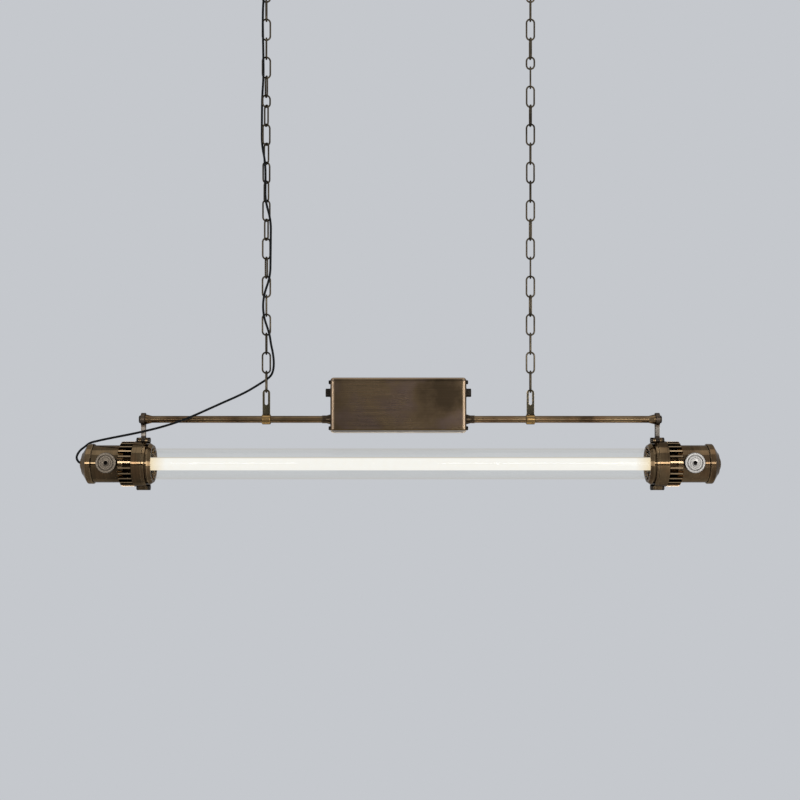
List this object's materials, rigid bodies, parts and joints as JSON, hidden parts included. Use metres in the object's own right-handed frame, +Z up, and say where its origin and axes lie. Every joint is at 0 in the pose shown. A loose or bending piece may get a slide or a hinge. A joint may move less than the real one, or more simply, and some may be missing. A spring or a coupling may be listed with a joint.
{
  "type": "linear pendant light",
  "caption": "Linear pendant light: a lit tube in clear glass between finned brass heads, hung from rods and a gear box on chains, with its power cable along one chain.",
  "frame": {"origin": "on the ceiling plane, midway between the two ceiling straps", "axes": "+Z up to the ceiling, +X along the lamp to the right, the front with the plugs towards -Y"},
  "size_m": [1.2902, 0.11, 1.1086],
  "materials": {
    "aged_brass": "dark aged brass, turned and brushed, bright worn edges",
    "chain_bronze": "dark bronzed steel wire",
    "dark_steel": "blackened steel fasteners",
    "worn_steel": "worn grey steel",
    "nickel": "turned nickel plate",
    "clear_glass": "clear drawn glass",
    "lamp_diffuser": "frosted white, lit",
    "lamp_metal": "satin aluminium",
    "contact_brass": "plain brass contact pins",
    "cable_black": "matt black sheath",
    "seal_rubber": "black rubber",
    "white_plastic": "white moulded plastic",
    "board_white": "white circuit board",
    "driver_case": "plain aluminium case"
  },
  "bodies": {
    "ceiling": {"left_canopy": "aged_brass", "right_canopy": "aged_brass", "left_ceiling_strap": "dark_steel", "right_ceiling_strap": "dark_steel", "left_ceiling_hook": "chain_bronze", "right_ceiling_hook": "chain_bronze", "canopy_nuts": "dark_steel", "cable_grip": "dark_steel", "supply_terminal_block": "white_plastic"},
    "left_top_link": {"left_top_link": "chain_bronze"},
    "left_chain": {"left_chain_links": "chain_bronze", "power_cable_drop": "cable_black"},
    "left_bottom_link": {"left_bottom_link": "chain_bronze"},
    "frame": {"left_chain_bracket": "aged_brass", "right_chain_bracket": "aged_brass", "bracket_grub_screws": "dark_steel", "left_rod": "aged_brass", "right_rod": "aged_brass", "rod_sockets": "aged_brass", "pivot_bolts": "worn_steel", "box_shell": "aged_brass", "left_box_end": "aged_brass", "right_box_end": "aged_brass", "box_end_screws": "dark_steel", "box_blanking_plugs": "dark_steel", "led_driver": "driver_case", "driver_tray": "driver_case", "driver_screws": "dark_steel", "box_terminal_block": "white_plastic", "power_cable_lead": "cable_black"},
    "lamp_unit": {"glass_tube": "clear_glass", "lamp_tube": "lamp_diffuser", "lamp_end_caps": "lamp_metal", "lamp_pins": "contact_brass", "led_board": "board_white", "left_head_body": "aged_brass", "right_head_body": "aged_brass", "left_clamp_ring": "aged_brass", "right_clamp_ring": "aged_brass", "left_glass_gasket": "seal_rubber", "right_glass_gasket": "seal_rubber", "left_end_cap": "aged_brass", "right_end_cap": "aged_brass", "end_cap_seals": "seal_rubber", "left_side_plug": "nickel", "right_side_plug": "nickel", "left_lampholder": "white_plastic", "right_lampholder": "white_plastic", "left_lampholder_plate": "driver_case", "right_lampholder_plate": "driver_case", "lampholder_screws": "dark_steel", "left_hanger": "worn_steel", "right_hanger": "worn_steel", "clamp_bolts": "dark_steel", "clamp_nuts": "dark_steel", "cable_gland": "seal_rubber", "head_terminal_block": "white_plastic"},
    "right_top_link": {"right_top_link": "chain_bronze"},
    "right_chain": {"right_chain_links": "chain_bronze"},
    "right_bottom_link": {"right_bottom_link": "chain_bronze"}
  },
  "joints": [
    {"name": "front_back_swing", "type": "hinge", "parent": "ceiling", "child": "left_top_link", "pos_m": [-0.264, 0, -0.0575], "axis": [1, 0, 0], "range_deg": [-15, 15], "deforming": ["power_cable_drop"]},
    {"name": "side_sway", "type": "hinge", "parent": "left_top_link", "child": "left_chain", "pos_m": [-0.264, 0, -0.0946], "axis": [0, 1, 0], "range_deg": [-10, 10], "deforming": ["power_cable_drop"]},
    {"name": "left_foot_sway", "type": "hinge", "parent": "left_chain", "child": "left_bottom_link", "pos_m": [-0.264, 0, -0.871], "axis": [0, 1, 0], "range_deg": [-10, 10], "deforming": ["power_cable_lead", "power_cable_drop"]},
    {"name": "frame_rock", "type": "hinge", "parent": "left_bottom_link", "child": "frame", "pos_m": [-0.264, 0, -0.9048], "axis": [1, 0, 0], "range_deg": [-15, 15], "deforming": ["power_cable_lead"]},
    {"name": "lamp_tilt", "type": "hinge", "parent": "frame", "child": "lamp_unit", "pos_m": [0, 0, -0.96701], "axis": [1, 0, 0], "range_deg": [-20, 20], "deforming": ["power_cable_lead"]},
    {"name": "right_front_back_swing", "type": "hinge", "parent": "ceiling", "child": "right_top_link", "pos_m": [0.264, 0, -0.0575], "axis": [1, 0, 0], "range_deg": [-15, 15]},
    {"name": "right_side_sway", "type": "hinge", "parent": "right_top_link", "child": "right_chain", "pos_m": [0.264, 0, -0.0946], "axis": [0, 1, 0], "range_deg": [-10, 10]},
    {"name": "right_foot_sway", "type": "hinge", "parent": "right_chain", "child": "right_bottom_link", "pos_m": [0.264, 0, -0.871], "axis": [0, 1, 0], "range_deg": [-10, 10]}
  ],
  "couplings": [
    {"joint": "left_foot_sway", "follows": "side_sway", "ratio": -1},
    {"joint": "right_front_back_swing", "follows": "front_back_swing", "ratio": 1},
    {"joint": "right_side_sway", "follows": "side_sway", "ratio": 1},
    {"joint": "right_foot_sway", "follows": "side_sway", "ratio": -1}
  ]
}
